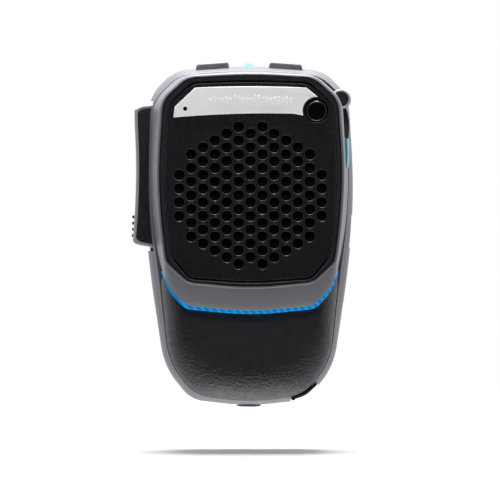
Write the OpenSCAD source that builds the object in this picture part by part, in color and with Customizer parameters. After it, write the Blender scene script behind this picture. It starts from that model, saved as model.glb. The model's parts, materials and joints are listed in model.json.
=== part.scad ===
/* [Housing] */
// Width of the housing at its widest section
body_w = 60.1; // [59.7:0.1:60.9]
// Height of the housing, without the buttons on its top
body_h = 98.2; // [97.8:0.1:99.2]
// Depth of the housing from its back face to the front of the bezel
body_d = 33; // [32:0.5:35]
// Wall of the rear shell
wall = 1.8; // [1.5:0.1:2]

/* [Hang-up stud] */
// Radius of the stud's head
stud_r = 6.4; // [6:0.1:7]
// Thickness of the stud's head at its rim
stud_rim = 1.6; // [1.4:0.1:1.8]
// Gap between the head and the back of the housing
stud_gap = 2.6; // [2.2:0.1:3]

/* [Grille] */
// Radius of one sound hole
hole_r = 1.5; // [1.2:0.1:1.6]
// Distance between two columns of sound holes
column_pitch = 3.4; // [3.3:0.05:3.5]
// Thickness of the grille panel
panel_t = 2.1; // [1.8:0.1:2.3]

/* [Talk bar] */
// Length of the push-to-talk bar
ptt_len = 41; // [38:0.5:42]
// How far the bar stands out of the side
ptt_proud = 3.4; // [2.8:0.1:3.8]
// Width of the bar, from back to front
ptt_w = 11; // [10:0.5:11.5]

/* [Top buttons] */
// Width of one volume button
volume_w = 9.5; // [8.5:0.5:10]
// Height of the volume buttons above the housing
volume_proud = 1.4; // [1.2:0.1:1.6]
// Distance of each volume button from the middle
volume_x = 10.6; // [10:0.1:11]

/* [Selector] */
// Radius of the selector's thumb knob
knob_r = 2.9; // [2.6:0.1:3]
// Turn of the knob from level at rest
knob_angle = 31; // [29:1:33]

/* [Hidden] */

// Depths are measured from the back face of the housing towards its front.
stud_head = 2;
back_y = -stud_head / 2 - stud_gap;
d_wide = 12;
d_seam = 19;
d_lip = body_d - 4.2;
d_plate = body_d - 6.5;
d_ledge = body_d - 2.5;
d_board = 14;
d_split = 10;
arc_steps = 3;

// Each outline is half of a shape that is the same left and right, from the middle of its top
// to the middle of its bottom: [x, z, how far before and after the corner the curve runs].
top_z = 30.04;
drawn_w = 60.1;
drawn_h = 98.2;
shell_half = [[0, 30.3, 8], [21.4, 28.9, 4], [28.8, 21.6, 5], [30.3, -1, 11], [29.9, -17, 7],
              [28.5, -31, 7], [24.6, -57, 6], [16.8, -66.6, 3.5], [0, -68.6, 8]];
rim_half = [[0, 29.1, 8], [20.5, 27.6, 4], [28.4, 19.7, 5], [28.9, -1, 11], [28.3, -16, 7],
            [26.3, -31, 7], [23.6, -55.3, 6], [16, -65.3, 5], [0, -67.2, 8]];
seam_half = [[0, 28.8, 8], [20.3, 27.3, 4], [28.1, 19.4, 5], [28.6, -2, 9], [27.9, -16, 6],
             [25.7, -28.2, 4], [22.9, -34.3, 3], [18.2, -38.9, 2], [0, -40.7, 8]];
gasket_half = [[0, 27.45, 8], [18.1, 26.45, 2.5], [25, 20.2, 3], [26.4, 0, 9], [25.6, -14, 6],
               [24.4, -24, 1.5], [23.9, -26.4, 1.1], [17.9, -32, 2], [0, -33.7, 8]];
panel_half = [[0, 25.4, 8], [16.6, 24.8, 2], [23.2, 18.6, 2.5], [24.5, 0, 9], [23.8, -12, 6],
              [22.9, -22.4, 1], [22.4, -24.5, 1], [17.4, -30.7, 1.6], [0, -32, 8]];
chin_half = [[0, 26.3, 8], [18.9, 25, 4], [25.2, 18.2, 5], [25.4, -2, 9], [23.4, -28, 1],
             [25.7, -31.2, 2.5], [23.3, -55, 6], [15.8, -65, 5], [0, -66.9, 8]];
plate_half = [[0, 23.8, 8], [16.8, 23, 4], [22.9, 17, 5], [23, -2, 9], [22.3, -17, 6],
              [20.8, -31, 7], [17.5, -46, 6], [10.5, -54, 5], [0, -56.5, 5]];
strip_half = [[0, 28.8, 8], [20.3, 27.3, 4], [28.1, 19.4, 5], [28.6, -2, 9], [27.9, -16, 6],
              [25.8, -28.6, 4], [23.4, -34.9, 3], [18.7, -39.9, 2], [0, -41.7, 8]];

// Places of the parts, as [x, z] seen from the front.
speaker_at = [0, -7.2];
speaker_r = 20;
cloth_r = 22.4;
mic_at = [-18.7, 17.6];
button_at = [18.9, 17];
button_r = 3;
selector_at = [13.1, 12.5];
track_r = 14.3;
knob_reach = 15.3;
ptt_pivot = [-23.4, 14.8];
ptt_pin_d = [5.5, 18.7];
ptt_d = 6.5;
ptt_top = 18;
side_z = -17.8;
port_at = [16.1, -64.05];
port_tilt = 31;
port_hinge = [-3.9, 0.05];
screw_at = [[-14.4, 21.2], [14.4, 21.2], [-13.5, -53.6], [13.5, -53.6]];
board_screw_at = [[-16, 4], [18.5, -2], [-17.5, -46], [17.5, -46]];
switch_x = 8.4;
stud_fn = 64;
hole_fn = 24;

function mix(a, b, t) = a + (b - a) * t;
function toward(a, b, far) = a + (b - a) * min(far / norm(b - a), 0.46);
function bend(a, v, b, s) = (1 - s) * (1 - s) * a + 2 * s * (1 - s) * v + s * s * b;
// A drawn half outline, stretched to the driving width and height and closed on its other side.
function sized(v) = [v[0] * body_w / drawn_w, top_z - (top_z - v[1]) * body_h / drawn_h, v[2]];
function other_side(v) = [-v[0], v[1], v[2]];
function whole(half) = [for (v = half) sized(v), for (i = [len(half) - 2:-1:1]) sized(other_side(half[i]))];
function span(middle, reach) = [middle - reach, middle + reach];
function xz(v) = [v[0], v[1]];
function rounded(vs) = [
    for (i = [0:len(vs) - 1])
        let (v = xz(vs[i]), n = len(vs), a = toward(v, xz(vs[(i + n - 1) % n]), vs[i][2]),
             b = toward(v, xz(vs[(i + 1) % n]), vs[i][2]))
        for (k = [0:arc_steps]) bend(a, v, b, k / arc_steps)];
function outline(half) = rounded(whole(half));
// The outline drawn in by a margin on every side.
function inset(half, g) =
    let (w = max([for (v = half) v[0]]), top = half[0][1], low = half[len(half) - 1][1],
         mid = (top + low) / 2, h = (top - low) / 2)
    [for (v = half) [v[0] * (w - g) / w, mid + (v[1] - mid) * (h - g) / h, v[2]]];
function blend(a, b, t) = [for (i = [0:len(a) - 1]) mix(a[i], b[i], t)];
function ring(half, d) = [for (p = outline(half)) [p[0], back_y - d, p[1]]];
// The back edge of the bezel lies on the seam, and lifts to the lip below the panel.
function lift(z) = let (t = min(1, max(0, (-26.5 - z) / 5))) mix(d_seam, d_lip, t * t * (3 - 2 * t));
function lip_ring(half, part) = [for (p = outline(half))
    [p[0], back_y - mix(lift(p[1]), body_d, part), p[1]]];

function band(n, a, b) = [for (j = [0:n - 1]) let (k = (j + 1) % n)
    each [[a * n + j, a * n + k, b * n + k], [a * n + j, b * n + k, b * n + j]]];
module solid_loft(rings) {
    n = len(rings[0]);
    m = len(rings);
    polyhedron([for (r = rings) each r],
               concat([for (i = [0:m - 2]) each band(n, i, i + 1)],
                      [[for (j = [n - 1:-1:0]) j], [for (j = [0:n - 1]) (m - 1) * n + j]]));
}
module ring_loft(rings) {
    m = len(rings);
    polyhedron([for (r = rings) each r], [for (i = [0:m - 1]) each band(len(rings[0]), i, (i + 1) % m)]);
}
// A flat shape drawn as seen from the front, between two depths.
module slab(d0, d1) translate([0, back_y - d0, 0]) rotate([90, 0, 0]) linear_extrude(d1 - d0) children();
module at(p) translate([p[0], p[1]]) children();
module rod(p, r, d0, d1, fn = 32) slab(d0, d1) at(p) circle(r, $fn = fn);
module block(x, z, d) translate([x[0], back_y - d[1], z[0]]) cube([x[1] - x[0], d[1] - d[0], z[1] - z[0]]);
function arc(r, from, to) =
    [for (i = [0:12]) let (a = mix(from, to, i / 12)) selector_at + r * [cos(a), sin(a)]];
module sector(r0, r1, a0, a1) polygon(concat(arc(r1, a0, a1), arc(r0, a1, a0)));
// The frame of the port: x along the slanted corner, z into the housing.
module port_frame() translate([port_at[0], 0, port_at[1]]) rotate([0, -port_tilt, 0]) children();
// The coloured mark at the foot of the selector's track: a lens that narrows downwards, and
// leans inwards with the side of the bezel.
function mark_ring(g, d) = let (lean = (d - d_seam) / 10) concat(
    [for (t = [0:0.2:1]) [28.65 + g - lean + 0.2 * sin(180 * t), back_y - d, mix(9 + g, 0.8 - g, t)]],
    [for (v = [[28.5, 0.8 - g], [27.7, 9 + g]]) [v[0] - g - lean, back_y - d, v[1]]]);
module mark_solid(g) solid_loft([mark_ring(g, d_seam - 3 * g), mark_ring(g, 27 + 3 * g)]);

module rear_shell() color("#5e5d63") difference() {
    union() {
        solid_loft([ring(inset(shell_half, 6.5), 0), ring(inset(shell_half, 4), 0.6),
                    ring(inset(shell_half, 1.8), 3), ring(inset(shell_half, 0.5), 6.8),
                    ring(shell_half, d_wide), ring(blend(shell_half, rim_half, 0.45), 17),
                    ring(rim_half, d_seam), ring(inset(rim_half, 1.3), d_seam),
                    ring(inset(shell_half, wall + 0.6), d_wide), ring(inset(shell_half, wall + 1.2), 6.8),
                    ring(inset(shell_half, wall + 4.4), wall)]);
        for (p = screw_at) rod(p, 2.6, 1.2, d_split - 0.1);
        for (p = board_screw_at) rod(p, 2, 1.2, d_board);
    }
    block([-40, -25], [ptt_top - ptt_len - 0.5, ptt_top + 2], [ptt_d - 0.4, ptt_d + ptt_w + 0.4]);
    for (side = [-1, 1]) block(span(side * volume_x, volume_w / 2 + 0.25), [24, 40], [7.75, 16.25]);
    block([-1.25, 1.25], [24, 40], [10.75, 13.25]);
    slab(16.2, d_seam + 1) sector(10, 15.8, -13, 70);
    block([26, 40], span(side_z, 4.75), [8.75, 15.25]);
    port_frame() slab(7.6, d_seam + 1) {
        translate([-4.3, -4]) square([8.6, 4.6]);
        translate([-4.8, -4]) square([1.5, 4.35]);
        at(port_hinge) circle(0.7, $fn = 32);
    }
    port_frame() slab(9.7, 13.7) translate([-3.8, -4]) square([7.6, 9]);
    translate([0, back_y - 11.5, -70]) {
        cylinder(r = 2.6, h = 6, $fn = 32);
        cylinder(r = 3.6, h = 2.45, $fn = 48);
    }
    for (p = screw_at) rod(p, 1.3, 1, d_split + 1);
    for (p = board_screw_at) rod(p, 0.9, d_board - 4, d_board + 1);
    for (p = screw_at) rod(p, 2.3, -1, 2.4);
    rod([0, 0], 1.6, -1, 5);
}
module front_cover() color("#26262a") difference() {
    dome = [0, 22, 45, 68, 90];
    inner_half = inset(chin_half, 1.6);
    inner_plate = inset(plate_half, 1);
    union() {
        solid_loft(concat([for (a = [90, 60, 30]) ring(blend(inner_half, inner_plate, 1 - cos(a)),
                               d_seam + (d_plate - 1.8 - d_seam) * sin(a))],
                          [ring(inner_half, d_seam)],
                          [for (a = dome) ring(blend(chin_half, plate_half, 1 - cos(a)),
                               d_seam + (d_plate - d_seam) * sin(a))]));
        for (p = screw_at) rod(p, 2.3, d_split, d_plate - 1.3);
    }
    rod(speaker_at, 15.6, 20, 30, 64);
    for (p = screw_at) rod(p, 1, d_split - 1, 22.5);
}
module front_bezel() color("#5d5c62") difference() {
    ring_loft([lip_ring(inset(seam_half, 1.7), 0), lip_ring(seam_half, 0),
               lip_ring(blend(seam_half, inset(gasket_half, -0.9), 0.45), 0.5),
               lip_ring(inset(gasket_half, -0.7), 0.94), ring(inset(gasket_half, -0.1), body_d),
               ring(inset(gasket_half, -0.02), body_d - 0.4), ring(inset(gasket_half, -0.02), d_ledge),
               ring(inset(panel_half, 1.4), d_ledge), ring(inset(panel_half, 1.4), d_ledge - 1.2),
               ring(inset(gasket_half, 1.2), d_ledge - 1.3)]);
    slab(d_seam - 1, 25.5) sector(track_r, 24, -13, 70);
    mark_solid(0.03);
    rod(button_at, button_r + 1.2, d_ledge - 2, d_ledge + 0.5, 48);
    rod(mic_at, 3.5, d_ledge - 2, d_ledge + 0.5, 48);
}
module bezel_gasket() color("#2a2a2d") slab(d_ledge, body_d - 0.15) difference() {
    polygon(outline(inset(gasket_half, 0.05)));
    polygon(outline(inset(panel_half, -0.3)));
}
module grille_panel() color("#232326") {
    difference() {
        slab(d_ledge, d_ledge + panel_t) polygon(outline(panel_half));
        slab(d_ledge - 1, body_d + 1) {
            for (k = [-6:6]) let (n = abs(k) == 6 ? 4 : k == 0 ? 10 : 12 - abs(k))
                for (i = [0:n - 1])
                    at(speaker_at + [k * column_pitch, (i - (n - 1) / 2) * column_pitch * 2 / sqrt(3)])
                        circle(hole_r, $fn = hole_fn);
            at(button_at) circle(button_r + 0.3, $fn = 48);
            at(mic_at) circle(0.6, $fn = 16);
        }
    }
}
module nameplate() color("#d9d9dc") slab(d_ledge + panel_t, body_d + 0.1) difference() {
    polygon([[-15.9, 23.6], [0, 24], [16, 23.6], [19.3, 20.9], [19.3, 15], [15.3, 15.6], [0, 16.2],
             [-22.1, 15.1], [-21.7, 18.2]]);
    at(button_at) circle(button_r + 1, $fn = 48);
    at(mic_at) circle(0.6, $fn = 16);
}
module grille_cloth() color("#111113") rod(speaker_at, cloth_r, d_ledge - 0.4, d_ledge, 64);
function strip_corner(p, d) = [p[0], back_y - d, p[1]];
function strip_section(a, b) = [strip_corner(a, d_plate + 0.15), strip_corner(b, d_plate + 0.15),
                                strip_corner(b, lift(b[1]) - 0.3), strip_corner(a, lift(a[1]) - 0.3)];
module light_strip() color("#1c96e0") {
    inner = outline(inset(seam_half, 1));
    outer = outline(strip_half);
    solid_loft([for (i = [0:len(outer) - 1]) if (outer[i][1] < -32) strip_section(inner[i], outer[i])]);
}
module strip_leds() color("#e8e8e0") for (x = [-12.5:5:12.5])
    block(span(x, 1.2), [-38, -36.4], [d_plate, d_plate + 1]);
module status_light_pipe() color("#bfe9ef") block([-1.2, 1.2], [27.4, top_z + 1.1], [10.8, 13.2]);

module speaker_frame() color("#707074") translate([speaker_at[0], back_y - d_plate, speaker_at[1]])
    rotate([90, 0, 0]) rotate_extrude($fn = 64)
        polygon([[15.4, -4.4], [15.4, 0], [speaker_r, 0], [speaker_r, 2], [18.4, 2], [18.4, 0.8],
                 [14.6, 0.8], [14.6, -3.6], [5, -3.6], [5, -4.4]]);
module speaker_cone() color("#1b1b1d") translate([speaker_at[0], back_y - d_plate, speaker_at[1]])
    rotate([90, 0, 0]) rotate_extrude($fn = 64)
        polygon([[0, -1.9], [5, -2.6], [15, 1.3], [16.6, 2.1], [18.3, 1], [18.3, 1.4], [16.6, 2.5],
                 [14.8, 1.7], [5, -2.2], [0, -1.5]]);
module speaker_magnet() color("#9a9aa0") rod(speaker_at, 9, d_plate - 8, d_plate - 4.4, 48);
module mic_boot() color("#1d1d1f") difference() {
    rod(mic_at, 3.2, d_ledge - 3.4, d_ledge);
    rod(mic_at, 2.5, d_ledge - 2.8, d_ledge + 1);
}
module mic_capsule() color("#b9b9bd") rod(mic_at, 2.5, d_ledge - 2.8, d_ledge - 0.4);

module main_board() color("#1f5b35") slab(d_board, d_board + 1.2) difference() {
    polygon([[-17.5, 24], [17.5, 24], [22, 19.5], [23.5, -8], [20.5, -50], [16, -57.5], [-16, -57.5],
             [-20.5, -50], [-18.6, -26], [-18.6, 18], [-21.5, 20]]);
    for (p = board_screw_at) at(p) circle(1.1, $fn = 24);
    for (p = screw_at) at(p) circle(2.6, $fn = 24);
    at(selector_at) circle(2.6, $fn = 32);
}
module radio_module() color("#c9c9cc") block([-12, 3], [-29, -14], [d_board - 2.6, d_board]);
module battery() color("#8fa3b8") block([-15, 15], [-49.5, -24.5], [17.2, 23.2]);
module battery_pad() color("#3a3a3c") block([-13, 13], [-48, -26], [d_board + 1.2, 17.2]);
module usb_socket() color("#c4c4c8") port_frame() difference() {
    slab(10.2, 13) translate([-3.5, 1.6]) square([7, 5]);
    slab(10.6, 12.6) translate([-3.1, 1.5]) square([6.2, 4.4]);
}
module port_cover() color("#1a1a1c") port_frame() {
    slab(7.8, d_seam - 0.4) {
        polygon([[port_hinge[0], 0.5], for (t = [-0.95:0.15:0.85]) [4.1 * t, -0.1 - 0.6 * cos(90 * t)],
                 [4.1, -0.1], [4.1, 0.5]]);
        at(port_hinge) circle(0.6, $fn = 32);
    }
    slab(10.8, 12.4) translate([-2.6, 0.5]) square([5.2, 0.9]);
}
module bottom_plug() color("#4e4d52") translate([0, back_y - 11.5, -68.6]) {
    cylinder(r = 3.5, h = 1, $fn = 48);
    cylinder(r = 2.5, h = 3.6, $fn = 32);
}

module hang_up_stud() color("#b4b4b8") rotate([-90, 0, 0]) difference() {
    rotate_extrude($fn = stud_fn)
        polygon([[0, back_y], [3.4, back_y], [3.4, -stud_head / 2], [stud_r - 0.2, -stud_head / 2],
                 [stud_r, -stud_rim / 2], [stud_r, stud_rim / 2], [stud_r - 0.2, stud_head / 2],
                 [0, stud_head / 2]]);
    translate([0, 0, back_y - 1]) cylinder(r = 1.25, h = 4, $fn = 32);
}
module stud_screw() color("#8b8b90") {
    rod([0, 0], 1.2, -2.4, wall, 24);
    rod([0, 0], 2.4, wall, wall + 1.4, 24);
}
module housing_screws() color("#3b3b40") for (p = screw_at) {
    rod(p, 2.1, 1.4, 2.4, 24);
    rod(p, 1, 2.4, 20, 24);
}
module board_screws() color("#a8a8ac") for (p = board_screw_at) {
    rod(p, 0.9, d_board - 2, d_board + 1.2, 24);
    rod(p, 1.8, d_board + 1.2, d_board + 2.2, 24);
}

// Outline of the push-to-talk bar from its inner side out, drawn in by a margin.
function ptt_outline(g) = let (x = -30 - ptt_proud + g, top = ptt_top - 0.4, low = ptt_top - ptt_len)
    concat([[-27, ptt_top + 1.6 - g], [-28.6, ptt_top + 1.5 - g], [x + 0.2, top - g]],
           [for (i = [1:5]) let (t = i / 6) [x + 0.8 * sin(180 * t) - 0.3 * t, mix(top, low + 2.4, t)]],
           [[x - 0.3, low + 2.4 + g], [x + 0.6, low + 1.5 + g], [-27, low + 0.4 + g]]);
rib_at = [for (i = [0:3]) [-30.2 - ptt_proud + 0.05 * i, ptt_top - ptt_len + 4 + 1.8 * i]];
module ptt_ribs(r) for (p = rib_at) at(p) {
    circle(r, $fn = 16);
    translate([0, -r]) square([2, 2 * r]);
}
module ptt_bar() color("#7a797f") difference() {
    slab(ptt_d + 0.1, ptt_d + ptt_w - 0.1) difference() {
        polygon(ptt_outline(0));
        polygon(ptt_outline(0.9));
    }
    slab(ptt_d + 1.2, ptt_d + ptt_w - 1.2) ptt_ribs(0.4);
}
module ptt_core() color("#17171a") difference() {
    union() {
        slab(ptt_d + 1.2, ptt_d + ptt_w - 1.2) ptt_ribs(0.4);
        slab(ptt_d, ptt_d + ptt_w) {
            polygon(ptt_outline(0.9));
            at(ptt_pivot) circle(1.8, $fn = 32);
            translate([-28, ptt_pivot[1] - 1.8]) square([28 + ptt_pivot[0], 3.6]);
        }
    }
    rod(ptt_pivot, 1.05, 0, 25);
}
module ptt_pivot_pin() color("#c2c2c6") rod(ptt_pivot, 1, ptt_pin_d[0], ptt_pin_d[1]);
module ptt_bracket() color("#3d3d42") difference() {
    union() {
        for (d = [ptt_pin_d[0], ptt_pin_d[1] - 0.9]) slab(d, d + 0.9) {
            at(ptt_pivot) circle(1.8, $fn = 32);
            translate([ptt_pivot[0], ptt_pivot[1] - 1.8]) square([4.4, 3.6]);
        }
        block([ptt_pivot[0] + 2.8, ptt_pivot[0] + 4.4], span(ptt_pivot[1], 1.8), ptt_pin_d);
    }
    rod(ptt_pivot, 1, 0, 25);
}
module coil(x0, x1, r, wire, turns) {
    steps = turns * 12;
    sides = 6;
    solid_loft([for (i = [0:steps]) let (a = 360 * i / 12, x = mix(x0, x1, i / steps))
        [for (j = [sides - 1:-1:0]) let (b = 360 * j / sides)
            [x + wire * sin(b), (r + wire * cos(b)) * cos(a), (r + wire * cos(b)) * sin(a)]]]);
}
module ptt_spring() color("#c8c8cc") translate([0, back_y - 12, -16]) coil(-26.6, -23.3, 1.8, 0.25, 4);
module ptt_switch() color("#2f2f33") {
    block([-23, -19], [-18.6, -5], [9, d_board]);
    block([-25.4, -23], [-9.2, -6.8], [10.5, 13]);
}

module volume_button(side) translate([side * volume_x, 0, 0]) {
    half = volume_w / 2;
    left = volume_proud + (side < 0 ? 0.8 : 1.4);
    right = volume_proud + (side < 0 ? 1.4 : 0.8);
    slab(8, 16) polygon([[-half, 27.2], [-half, 27.9 + left], [-half + 0.6, 28.5 + left],
                         [half - 0.6, 28.5 + right], [half, 27.9 + right], [half, 27.2]]);
    slab(7.6, 16.4) translate([-half - 0.4, 25.4]) square([volume_w + 0.8, 0.8]);
    slab(9, 15) translate([side * (switch_x - volume_x) - 2, 25.4]) square([4, 2]);
}
module volume_up_button() color("#5e5d63") volume_button(1);
module volume_down_button() color("#5e5d63") volume_button(-1);
module volume_switches() color("#2f2f33") for (side = [-1, 1])
    block(span(side * switch_x, 2), [20.6, 24.4], [d_board - 4, d_board]);

module front_button() color("#0c0c0e") {
    rod(button_at, button_r, d_ledge - 0.5, body_d + 0.2, 48);
    rod(button_at, button_r + 0.7, d_ledge - 1.2, d_ledge - 0.4, 48);
}
module front_button_switch() color("#2f2f33") rod(button_at, 2.4, d_plate, d_plate + 1.8);

module knob_outline(r, inner) difference() {
    at(selector_at + knob_reach * [cos(knob_angle), sin(knob_angle)]) circle(r, $fn = 48);
    at(selector_at) circle(inner, $fn = 96);
}
module selector_lever() color("#77767c") difference() {
    union() {
        slab(16.6, 18) {
            at(selector_at) circle(2.6, $fn = 32);
            sector(2, 15.35, knob_angle - 8, knob_angle + 8);
        }
        slab(17.5, 20) sector(14.8, 15.3, knob_angle - 7, knob_angle + 7);
        slab(19.4, 24.4) knob_outline(knob_r, 14.5);
    }
    slab(24, 25) knob_outline(knob_r - 0.7, 14.6);
    rod(selector_at, 1.05, 10, 30);
}
module selector_face() color("#1e1e22") slab(24, 24.25) knob_outline(knob_r - 0.7, 14.6);
module selector_pivot_pin() color("#c2c2c6") {
    rod(selector_at, 1, d_board + 1.2, 18.8);
    rod(selector_at, 1.8, d_board - 1, d_board + 1.2);
}
module selector_switch() color("#2f2f33") difference() {
    rod(selector_at, 4, d_board + 1.2, 16.2);
    rod(selector_at, 1.8, 10, 20);
}
module selector_mark() color("#4fb6d4") mark_solid(0);
module side_button() color("#1a1a1c") {
    slab(9, 15) polygon([[25.8, side_z - 4.5], [29.9, side_z - 4.5], [30.4, side_z + 4.2],
                         [30.1, side_z + 4.5], [25.8, side_z + 4.5]]);
    slab(8, 16) translate([25.1, side_z - 5.2]) square([0.8, 10.4]);
}
module side_button_switch() color("#2f2f33") block([21.2, 24.2], span(side_z, 2.2), [d_board - 4, d_board]);

rear_shell();
front_cover();
front_bezel();
bezel_gasket();
grille_panel();
nameplate();
grille_cloth();
light_strip();
strip_leds();
status_light_pipe();
speaker_frame();
speaker_cone();
speaker_magnet();
mic_capsule();
mic_boot();
main_board();
radio_module();
battery();
battery_pad();
usb_socket();
port_cover();
bottom_plug();
hang_up_stud();
stud_screw();
housing_screws();
board_screws();
ptt_bar();
ptt_core();
ptt_pivot_pin();
ptt_bracket();
ptt_spring();
ptt_switch();
volume_up_button();
volume_down_button();
volume_switches();
front_button();
front_button_switch();
selector_lever();
selector_face();
selector_pivot_pin();
selector_switch();
selector_mark();
side_button();
side_button_switch();
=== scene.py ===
import json
import math

import bmesh
import bpy
import numpy as np
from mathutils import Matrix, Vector


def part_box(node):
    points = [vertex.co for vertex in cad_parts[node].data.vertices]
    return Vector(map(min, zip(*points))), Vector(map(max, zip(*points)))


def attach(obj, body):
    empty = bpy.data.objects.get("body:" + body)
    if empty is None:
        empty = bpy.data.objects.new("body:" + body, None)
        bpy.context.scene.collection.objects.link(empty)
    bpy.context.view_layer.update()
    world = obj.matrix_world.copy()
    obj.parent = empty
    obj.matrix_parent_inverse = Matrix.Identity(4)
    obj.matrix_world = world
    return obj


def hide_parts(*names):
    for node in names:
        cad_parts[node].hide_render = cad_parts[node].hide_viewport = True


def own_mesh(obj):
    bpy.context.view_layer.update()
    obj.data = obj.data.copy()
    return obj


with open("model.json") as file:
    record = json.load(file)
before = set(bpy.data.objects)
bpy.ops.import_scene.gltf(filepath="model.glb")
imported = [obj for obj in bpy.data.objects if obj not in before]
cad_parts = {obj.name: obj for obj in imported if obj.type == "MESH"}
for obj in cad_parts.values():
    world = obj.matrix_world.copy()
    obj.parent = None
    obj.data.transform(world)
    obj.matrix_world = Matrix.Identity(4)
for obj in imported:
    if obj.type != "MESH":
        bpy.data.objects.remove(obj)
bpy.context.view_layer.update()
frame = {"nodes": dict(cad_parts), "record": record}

# ---------------------------------------------------------------- the frame's own measures, in mm
MM = 0.001


def low_of(node, axis):
    """Where a CAD node begins along an axis, where 0 is x, 1 is y and 2 is z."""
    return round(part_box(node)[0][axis] / MM, 1)


def high_of(node, axis):
    """Where a CAD node ends along an axis."""
    return round(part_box(node)[1][axis] / MM, 1)


def middle_of(node, axis):
    return round((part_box(node)[0][axis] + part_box(node)[1][axis]) / 2 / MM, 1)


def middle_seen(node):
    """The middle of a CAD node as seen from the front, as (x, z)."""
    return middle_of(node, 0), middle_of(node, 2)


def pivot_seen(joint_name):
    """The place of a hinge as seen from the front, as (x, z)."""
    for joint in frame["record"]["behaviour"]["joints"]:
        if joint["name"] == joint_name:
            return round(joint["pos_m"][0] / MM, 1), round(joint["pos_m"][2] / MM, 1)


BACK_Y = high_of("rear_shell", 1)                           # back face of the housing

# Depths are measured from the back face towards the front.
D_WIDE = 12.0                                               # where the housing is widest
D_SEAM = round(BACK_Y - high_of("front_bezel", 1), 1)       # the seam between rear shell and bezel
D_LIP = 28.8                                                # back edge of the bezel below the panel
D_PLATE = round(BACK_Y - low_of("front_cover", 1), 1)       # the flat top of the lower front
D_LEDGE = round(BACK_Y - high_of("bezel_gasket", 1), 1)     # the ledge under panel and gasket
D_FRONT = round(BACK_Y - low_of("front_bezel", 1), 1)       # the front of the bezel
PLUG_D = round(BACK_Y - middle_of("bottom_plug", 1), 1)     # axis of the foot plug

# Places as seen from the front, (x, z).
SELECTOR_AT = pivot_seen("selector_turn")
BUTTON_AT = middle_seen("front_button")
MIC_AT = middle_seen("mic_boot")
SPEAKER_AT = middle_seen("speaker_frame")
SCREW_AT = [(-14.4, 21.2), (14.4, 21.2), (-13.5, -53.6), (13.5, -53.6)]
PORT_AT = (16.1, -64.05)
PORT_TILT = math.radians(31)
PORT_HINGE = (-3.9, 0.05)                                   # from PORT_AT, before the tilt
VOLUME_X = middle_of("volume_up_button", 0)
VOLUME_W = 9.5
SIDE_Z = middle_of("side_button", 2)
KNOB_R = 2.9
KNOB_REACH = 15.3                                           # from the selector's pivot to its knob
KNOB_ANGLE = math.radians(31)
PTT_PIVOT = pivot_seen("talk_bar_press")
PTT_D = round(BACK_Y - high_of("ptt_core", 1), 1)           # back of the talk bar
PTT_W = round(high_of("ptt_core", 1) - low_of("ptt_core", 1), 1)
PTT_TOP = 18.0
PTT_LEN = 41.0
PTT_X = -33.4                                               # outer side of the talk bar

# Half outlines from the middle of the top to the middle of the bottom: x, z, reach of the curve.
SHELL = [(0, 30.3, 8), (21.4, 28.9, 4), (28.8, 21.6, 5), (30.3, -1, 11), (29.9, -17, 7),
         (28.5, -31, 7), (24.6, -57, 6), (16.8, -66.6, 3.5), (0, -68.6, 8)]
RIM = [(0, 29.1, 8), (20.5, 27.6, 4), (28.4, 19.7, 5), (28.9, -1, 11), (28.3, -16, 7),
       (26.3, -31, 7), (23.6, -55.3, 6), (16, -65.3, 5), (0, -67.2, 8)]
SEAM = [(0, 28.8, 8), (20.3, 27.3, 4), (28.1, 19.4, 5), (28.6, -2, 9), (27.9, -16, 6),
        (25.7, -28.2, 4), (22.9, -34.3, 3), (18.2, -38.9, 2), (0, -40.7, 8)]
GASKET = [(0, 27.45, 8), (18.1, 26.45, 2.5), (25, 20.2, 3), (26.4, 0, 9), (25.6, -14, 6),
          (24.4, -24, 1.5), (23.9, -26.4, 1.1), (17.9, -32, 2), (0, -33.7, 8)]
PANEL = [(0, 25.4, 8), (16.6, 24.8, 2), (23.2, 18.6, 2.5), (24.5, 0, 9), (23.8, -12, 6),
         (22.9, -22.4, 1), (22.4, -24.5, 1), (17.4, -30.7, 1.6), (0, -32, 8)]
CHIN = [(0, 26.3, 8), (18.9, 25, 4), (25.2, 18.2, 5), (25.4, -2, 9), (23.4, -28, 1),
        (25.7, -31.2, 2.5), (23.3, -55, 6), (15.8, -65, 5), (0, -66.9, 8)]
PLATE = [(0, 23.8, 8), (16.8, 23, 4), (22.9, 17, 5), (23, -2, 9), (22.3, -17, 6),
         (20.8, -31, 7), (17.5, -46, 6), (10.5, -54, 5), (0, -56.5, 5)]
STRIP = [(0, 28.8, 8), (20.3, 27.3, 4), (28.1, 19.4, 5), (28.6, -2, 9), (27.9, -16, 6),
         (25.8, -28.6, 4), (23.4, -34.9, 3), (18.7, -39.9, 2), (0, -41.7, 8)]
CURVE_STEPS = 8        # points along each curved corner
STRAIGHT_STEPS = 5     # points along each straight between two corners


# ---------------------------------------------------------------- outlines, as seen from the front
def curved(corners, curve_steps=CURVE_STEPS, straight_steps=STRAIGHT_STEPS):
    """A closed outline through corners of (x, z, reach), each rounded over its reach."""
    count = len(corners)
    bends = []
    for i, (x, z, reach) in enumerate(corners):
        v = np.array((x, z), float)
        ends = []
        for other in (corners[i - 1], corners[(i + 1) % count]):
            way = np.array(other[:2], float) - v
            size = np.linalg.norm(way)
            ends.append(v + way * min(reach / size, 0.46))
        s = np.linspace(0, 1, curve_steps + 1)[:, None]
        bends.append((1 - s) ** 2 * ends[0] + 2 * s * (1 - s) * v + s ** 2 * ends[1])
    points = []
    for i, bend in enumerate(bends):
        points.append(bend)
        t = np.linspace(0, 1, straight_steps + 2)[1:-1, None]
        points.append(bend[-1] * (1 - t) + bends[(i + 1) % count][0] * t)
    return np.concatenate(points)


def smooth_outline(half):
    """The whole outline of a half that is the same left and right."""
    return curved(list(half) + [(-x, z, reach) for x, z, reach in half[-2:0:-1]])


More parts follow.
